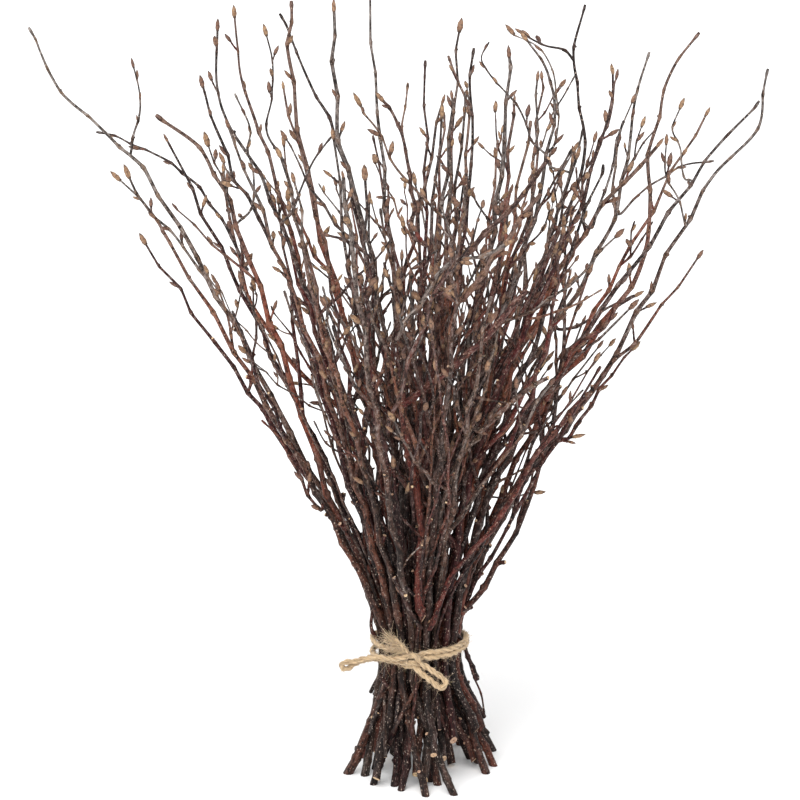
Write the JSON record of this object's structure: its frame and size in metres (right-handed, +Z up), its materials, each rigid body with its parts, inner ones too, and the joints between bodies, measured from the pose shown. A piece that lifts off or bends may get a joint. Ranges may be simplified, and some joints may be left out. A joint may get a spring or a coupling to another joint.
{
  "type": "bundle of twigs",
  "caption": "Bundle of budded birch twigs, pinched at a jute twine tie with a bow, that fans out above and stands on its splayed cut ends.",
  "frame": {"origin": "middle of the bundle's outline on the surface that it stands on", "axes": "+Z up along the bundle, the bow of the tie faces -Y"},
  "size_m": [0.3862, 0.2878, 0.427],
  "materials": {
    "bark_dark": "dark purplish brown bark with pale pores, slightly glossy",
    "bark_red": "red brown bark, slightly glossy",
    "bark_grey": "grey brown bark, dull",
    "jute": "two-ply jute twine, hairy and matte"
  },
  "bodies": {
    "root": {"twig_01": "bark_grey", "twig_02": "bark_red", "twig_03": "bark_dark", "twig_04": "bark_grey", "twig_05": "bark_red", "twig_06": "bark_dark", "twig_07": "bark_red", "twig_08": "bark_grey", "twig_09": "bark_grey", "twig_10": "bark_red", "twig_11": "bark_dark", "twig_12": "bark_grey", "twig_13": "bark_dark", "twig_14": "bark_grey", "twig_15": "bark_grey", "twig_16": "bark_red", "twig_17": "bark_grey", "twig_18": "bark_grey", "twig_19": "bark_red", "twig_20": "bark_red", "twig_21": "bark_dark", "twig_22": "bark_dark", "twig_23": "bark_dark", "twig_24": "bark_grey", "twig_25": "bark_red", "twig_26": "bark_dark", "twig_27": "bark_red", "twig_28": "bark_dark", "twig_29": "bark_grey", "twig_30": "bark_red", "twig_31": "bark_dark", "twig_32": "bark_red", "twig_33": "bark_dark", "twig_34": "bark_grey", "twig_35": "bark_red", "twig_36": "bark_dark", "twig_37": "bark_red", "twig_38": "bark_dark", "twig_39": "bark_grey", "twig_40": "bark_red", "twig_41": "bark_dark", "twig_42": "bark_red", "twig_43": "bark_dark", "twig_44": "bark_grey", "twig_45": "bark_red", "twig_46": "bark_dark", "twig_47": "bark_red", "twig_48": "bark_dark", "twig_49": "bark_grey", "twig_50": "bark_red", "twig_51": "bark_dark", "twig_51_fork": "bark_dark", "twig_46_fork": "bark_dark", "twig_42_fork": "bark_red", "twig_38_fork": "bark_dark", "twig_34_fork": "bark_grey", "twig_31_fork": "bark_dark", "twig_28_fork": "bark_dark", "twine": "jute"}
  },
  "joints": []
}
